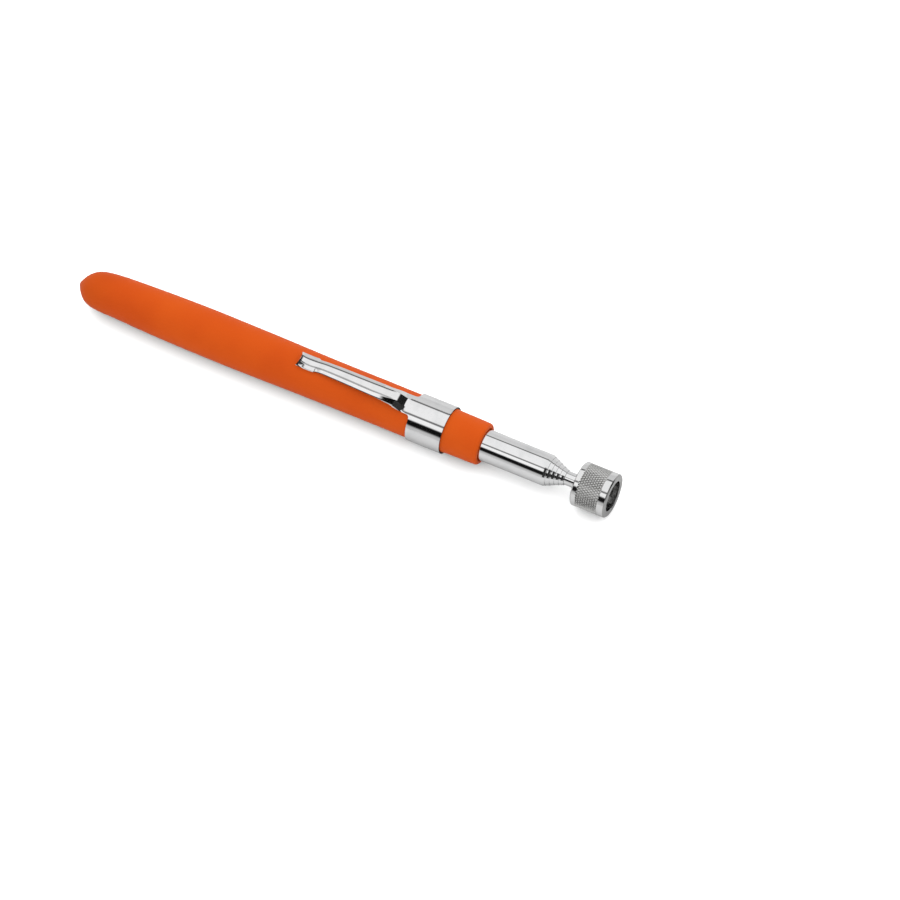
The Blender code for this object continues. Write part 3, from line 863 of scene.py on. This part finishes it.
MAGNET_REAR, MAGNET_FACE = stations_of("magnet")
MAGNET_RADIUS = 4.33
magnet_outline = [(MAGNET_FACE, 0.0), (MAGNET_FACE, 1.4), (MAGNET_FACE, 2.8)] + rounded([
    (MAGNET_FACE, 2.8), (MAGNET_FACE, MAGNET_RADIUS, 0.22), (MAGNET_REAR, MAGNET_RADIUS, 0.1),
    (MAGNET_REAR, 0.0)])
magnet = turned("magnet_disc", magnet_outline, NICKEL, segments=112, sharp=45.0, closed=False)
register(magnet, "magnet", "tip")

# ------------------------------------------------------------------ carried-over CAD nodes

for node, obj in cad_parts.items():
    if obj.hide_render:
        continue
    look = NYLON if "plug" in node else BRONZE if "shim" in node else STEEL
    obj.data.materials.clear()
    obj.data.materials.append(look)

# ------------------------------------------------------------------ camera

ROLL = math.radians(23.2)        # the clip stands this far above the line of sight, round the axis
TILT = math.radians(15.8)        # the head leans this far towards the camera
SLOPE = math.radians(22.045)     # and the axis runs this far down to the right

HEAD_MIDDLE = 160.35             # station the camera is placed from
# where that point lies in the camera's own frame: right, up, and away along -Z
HEAD_IN_VIEW = Vector((37.39293, -9.817345, -1359.74304)) * MM

# directions across the axis in world space: towards the camera, and up in the picture
TOWARDS = Vector((0.0, -math.sin(ROLL), math.cos(ROLL)))
UPWARDS = Vector((0.0, math.cos(ROLL), math.sin(ROLL)))


def add_camera():
    data = bpy.data.cameras.new("camera")
    data.lens = 200.0
    data.sensor_width = 36.0
    data.clip_start = 0.01
    data.clip_end = 20.0
    camera = bpy.data.objects.new("camera", data)
    bpy.context.scene.collection.objects.link(camera)
    bpy.context.scene.camera = camera
    # the world's X, Z and Y axes as the camera sees them
    axis = Vector((math.cos(TILT) * math.cos(SLOPE), -math.cos(TILT) * math.sin(SLOPE),
                   math.sin(TILT)))
    facing = Vector((-math.sin(TILT) * math.cos(SLOPE), math.sin(TILT) * math.sin(SLOPE),
                     math.cos(TILT)))
    across = Vector((math.sin(SLOPE), math.cos(SLOPE), 0.0))
    up = facing * math.cos(ROLL) + across * math.sin(ROLL)
    turn = Matrix((axis, up.cross(axis), up))
    place = Vector((world_x(HEAD_MIDDLE), 0.0, 0.0)) - turn @ HEAD_IN_VIEW
    camera.matrix_world = Matrix.Translation(place) @ turn.to_4x4()


add_camera()

# ------------------------------------------------------------------ world

# brightness round the axis: (degrees from the camera's side, positive upwards; grey level)
BANDS = (
    (-180, 0.50), (-120, 0.52), (-70, 0.60), (-55, 0.52), (-46, 0.004), (-27, 0.004),
    (-20, 0.95), (-5.5, 1.0), (-1.0, 0.13), (2.5, 0.13), (7.5, 0.92), (64.5, 0.90),
    (69.0, 0.06), (72.5, 0.06), (76.5, 0.69), (120, 0.62), (180, 0.50))
LOWER_HALF = ((5, 1.0), (14, 0.0))    # same columns: a mask of the lower part of the set


def studio():
    """White cyclorama with the narrow black flags that draw the lines down polished metal."""
    world = bpy.data.worlds.new("studio")
    bpy.context.scene.world = world
    world.use_nodes = True
    nodes = Nodes(world.node_tree)
    world.node_tree.nodes.clear()
    ray = nodes.add("ShaderNodeTexCoord").outputs["Generated"]

    def along(direction):
        node = nodes.add("ShaderNodeVectorMath", operation="DOT_PRODUCT")
        nodes.link(ray, node.inputs[0])
        node.inputs[1].default_value = direction
        return node.outputs["Value"]

    def round_axis(table):
        return nodes.ramp(turns, *((degrees / 360.0 + 0.5, level) for degrees, level in table))

    angle = nodes.math("ARCTAN2", along(UPWARDS), along(TOWARDS))
    turns = nodes.math("ADD", nodes.math("DIVIDE", angle, 2.0 * math.pi), 0.5)
    bands = round_axis(BANDS)
    ahead = along(Vector((1.0, 0.0, 0.0)))
    behind = nodes.scaled(ahead, gain=-1.0)
    # the lower half of the set is closed off ahead of the tool and dim behind it
    low = round_axis(LOWER_HALF)
    flag_low = nodes.ramp(ahead, (0.10, 0.0), (0.24, 1.0))
    flag_high = nodes.ramp(ahead, (0.60, 0.0), (0.70, 1.0))
    dim_back = nodes.ramp(behind, (0.48, 0.0), (0.62, 1.0))
    far_ahead = nodes.ramp(ahead, (0.90, 0.0), (0.955, 1.0))
    # each mask with the grey it lays over the bands
    for mask, level in ((nodes.math("MULTIPLY", low, dim_back), 0.16),
                        (nodes.math("MULTIPLY", low, flag_low), 0.03),
                        (flag_high, 0.012), (far_ahead, 0.33)):
        bands = nodes.mix(mask, bands, level)
    # only reflections see the set; everything else is lit by plain white
    path = nodes.add("ShaderNodeLightPath")
    background = nodes.add("ShaderNodeBackground")
    nodes.link(nodes.mix(path.outputs["Is Glossy Ray"], 1.0, bands), background.inputs["Color"])
    background.inputs["Strength"].default_value = 1.0
    output = nodes.add("ShaderNodeOutputWorld")
    nodes.link(background.outputs[0], output.inputs[0])


studio()

# ------------------------------------------------------------------ floor and lights

FLOOR_HALF = 3.0                                # metres
LIGHT_TARGET = Vector((-0.08, 0.0, 0.0))        # metres

floor = new_object("floor", [(x * FLOOR_HALF, y * FLOOR_HALF, FLOOR_Z)
                             for x, y in ((-1, -1), (1, -1), (1, 1), (-1, 1))],
                   [(0, 1, 2, 3)], floor_white("floor_white"))

floor_only = bpy.data.collections.new("floor_only")
bpy.context.scene.collection.children.link(floor_only)
floor_only.objects.link(floor)


def softbox(name, direction, reach, size, power):
    """Square lamp aimed at the tool; reach and size are in metres, power in watts."""
    data = bpy.data.lights.new(name, "AREA")
    data.shape = "SQUARE"
    data.size = size
    data.energy = power
    lamp = bpy.data.objects.new(name, data)
    bpy.context.scene.collection.objects.link(lamp)
    lamp.location = LIGHT_TARGET + direction.normalized() * reach
    lamp.rotation_mode = "QUATERNION"
    lamp.rotation_quaternion = (LIGHT_TARGET - lamp.location).to_track_quat("-Z", "Y")
    lamp.visible_glossy = False
    lamp.visible_camera = False
    return lamp


wash = softbox("floor_wash", direction=UPWARDS * 0.30 + Vector((0, 0, 1)), reach=1.4, size=3.5,
               power=60.0)
wash.light_linking.receiver_collection = floor_only
softbox("key_soft", direction=UPWARDS * 0.9 + Vector((-0.2, 0, 0.5)), reach=1.0, size=0.7,
        power=1.7)

bpy.context.scene.view_settings.view_transform = "Standard"
bpy.context.scene.view_settings.look = "None"
